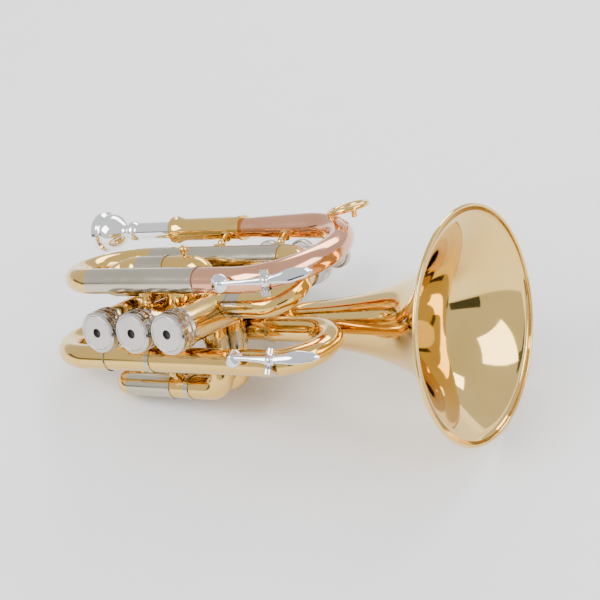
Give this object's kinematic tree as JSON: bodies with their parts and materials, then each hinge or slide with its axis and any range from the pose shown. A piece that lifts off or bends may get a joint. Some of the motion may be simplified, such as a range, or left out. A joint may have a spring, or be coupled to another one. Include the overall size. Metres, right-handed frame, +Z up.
{
  "type": "pocket cornet",
  "caption": "Compact wrapped brass-wind instrument with a flared bell, piston valves, sliding tuning tubes, sprung water keys and a cup mouthpiece, lying on its side.",
  "frame": {"origin": "middle of the base of the bounding box, in the plane the instrument rests on", "axes": "+Z is up from the table; the bell opens towards +X and about 15 degrees up; the finger buttons point to +Y and about 22 degrees down"},
  "size_m": [0.2442, 0.145, 0.1084],
  "materials": {
    "lacquered_brass": "polished yellow brass under clear lacquer",
    "rose_brass": "polished rose brass under clear lacquer",
    "nickel_silver": "polished warm-grey nickel silver",
    "silver_plate": "bright silver plate",
    "nickel_plate": "bright nickel plate",
    "piston_metal": "lapped satin",
    "spring_steel": "bare wire",
    "pearl": "milky gloss",
    "felt": "soft felt",
    "cork": "matt cork"
  },
  "bodies": {
    "instrument": {"valve_casing_1": "lacquered_brass", "bottom_cap_1": "nickel_plate", "top_cap_1": "nickel_plate", "valve_spring_1": "spring_steel", "valve_casing_2": "lacquered_brass", "bottom_cap_2": "nickel_plate", "top_cap_2": "nickel_plate", "valve_spring_2": "spring_steel", "valve_casing_3": "lacquered_brass", "bottom_cap_3": "nickel_plate", "top_cap_3": "nickel_plate", "valve_spring_3": "spring_steel", "casing_bridges": "lacquered_brass", "mouthpiece_receiver": "lacquered_brass", "leadpipe": "rose_brass", "tuning_sleeve_near": "nickel_silver", "tuning_sleeve_far": "nickel_silver", "front_bend": "lacquered_brass", "slide_knuckles": "lacquered_brass", "slide_sleeves": "nickel_silver", "bell": "lacquered_brass", "rear_bow": "lacquered_brass", "lower_tube": "lacquered_brass", "front_bow": "lacquered_brass", "exit_tube": "lacquered_brass", "ring_ferrules": "nickel_silver", "braces": "lacquered_brass", "finger_hook": "lacquered_brass", "key_saddles": "nickel_plate", "key_screws": "nickel_plate", "key_nipples": "nickel_plate", "key_springs": "spring_steel"},
    "valve_1": {"piston_1": "piston_metal", "valve_stem_1": "nickel_plate", "valve_felts_1": "felt", "finger_button_1": "nickel_plate", "button_pearl_1": "pearl"},
    "valve_2": {"piston_2": "piston_metal", "valve_stem_2": "nickel_plate", "valve_felts_2": "felt", "finger_button_2": "nickel_plate", "button_pearl_2": "pearl"},
    "valve_3": {"piston_3": "piston_metal", "valve_stem_3": "nickel_plate", "valve_felts_3": "felt", "finger_button_3": "nickel_plate", "button_pearl_3": "pearl"},
    "main_tuning_slide": {"tuning_slide_legs": "nickel_silver", "tuning_slide_crook": "lacquered_brass"},
    "first_valve_slide": {"first_slide_legs": "nickel_silver", "first_slide_crook": "lacquered_brass"},
    "second_valve_slide": {"second_slide_legs": "nickel_silver", "second_slide_crook": "lacquered_brass"},
    "third_valve_slide": {"third_slide_legs": "nickel_silver", "third_slide_crook": "lacquered_brass"},
    "mouthpiece_body": {"mouthpiece": "silver_plate"},
    "upper_water_key": {"upper_key_lever": "nickel_plate", "upper_key_cork": "cork"},
    "lower_water_key": {"lower_key_lever": "nickel_plate", "lower_key_cork": "cork"}
  },
  "joints": [
    {"name": "valve_1_press", "type": "slide", "parent": "instrument", "child": "valve_1", "axis": [0, -0.9276, 0.3737], "range_m": [0, 0.016], "stiffness_N_per_m": 180, "springref_m": -0.02, "deforming": ["valve_spring_1"]},
    {"name": "valve_2_press", "type": "slide", "parent": "instrument", "child": "valve_2", "axis": [0, -0.9276, 0.3737], "range_m": [0, 0.016], "stiffness_N_per_m": 180, "springref_m": -0.02, "deforming": ["valve_spring_2"]},
    {"name": "valve_3_press", "type": "slide", "parent": "instrument", "child": "valve_3", "axis": [0, -0.9276, 0.3737], "range_m": [0, 0.016], "stiffness_N_per_m": 180, "springref_m": -0.02, "deforming": ["valve_spring_3"]},
    {"name": "main_tuning_slide_pull", "type": "slide", "parent": "instrument", "child": "main_tuning_slide", "axis": [-0.9666, -0.0957, -0.2377], "range_m": [0, 0.025]},
    {"name": "first_slide_pull", "type": "slide", "parent": "instrument", "child": "first_valve_slide", "axis": [-0.9666, -0.0957, -0.2377], "range_m": [0, 0.01]},
    {"name": "second_slide_pull", "type": "slide", "parent": "instrument", "child": "second_valve_slide", "axis": [-0.9666, -0.0957, -0.2377], "range_m": [0, 0.004]},
    {"name": "third_slide_pull", "type": "slide", "parent": "instrument", "child": "third_valve_slide", "axis": [-0.9666, -0.0957, -0.2377], "range_m": [0, 0.014]},
    {"name": "mouthpiece_pull", "type": "slide", "parent": "instrument", "child": "mouthpiece_body", "axis": [-0.9666, -0.0957, -0.2377], "range_m": [0, 0.03]},
    {"name": "upper_key_open", "type": "hinge", "parent": "instrument", "child": "upper_water_key", "pos_m": [0.0353, -0.04151, 0.10068], "axis": [-0.2652, 0.4856, 0.833], "range_deg": [0, 10], "stiffness_Nm_per_rad": 0.06, "springref_deg": -20.05},
    {"name": "lower_key_open", "type": "hinge", "parent": "instrument", "child": "lower_water_key", "pos_m": [0.03811, -0.05374, 0.06445], "axis": [-0.2228, 0.7765, 0.5894], "range_deg": [0, 8], "stiffness_Nm_per_rad": 0.06, "springref_deg": -20.05}
  ]
}
